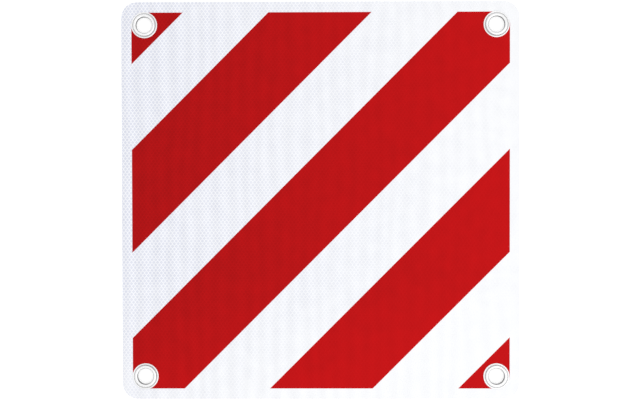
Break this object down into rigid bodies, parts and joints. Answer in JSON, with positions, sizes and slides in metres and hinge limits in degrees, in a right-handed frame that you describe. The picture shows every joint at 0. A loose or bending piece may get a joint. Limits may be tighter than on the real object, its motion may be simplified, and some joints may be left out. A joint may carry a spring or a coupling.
{
  "type": "overhanging load warning plate",
  "caption": "Square reflective warning plate with diagonal red and white stripes and a metal eyelet in each rounded corner.",
  "frame": {"origin": "middle of the plate, on the surface that the four eyelet flanges stand on", "axes": "+Z out of the printed face, +X to the right of the print, +Y to its top edge"},
  "size_m": [0.5, 0.5, 0.0061],
  "materials": {
    "board_plastic": "satin",
    "reflective_film": "gloss",
    "red_print": "gloss",
    "eyelet_metal": "bright nickel",
    "washer_metal": "bright nickel"
  },
  "bodies": {
    "root": {"board": "board_plastic", "reflective_sheet": "reflective_film", "red_stripes": "red_print", "eyelet_top_left": "eyelet_metal", "eyelet_top_right": "eyelet_metal", "eyelet_bottom_left": "eyelet_metal", "eyelet_bottom_right": "eyelet_metal", "washer_top_left": "washer_metal", "washer_top_right": "washer_metal", "washer_bottom_left": "washer_metal", "washer_bottom_right": "washer_metal"}
  },
  "joints": []
}
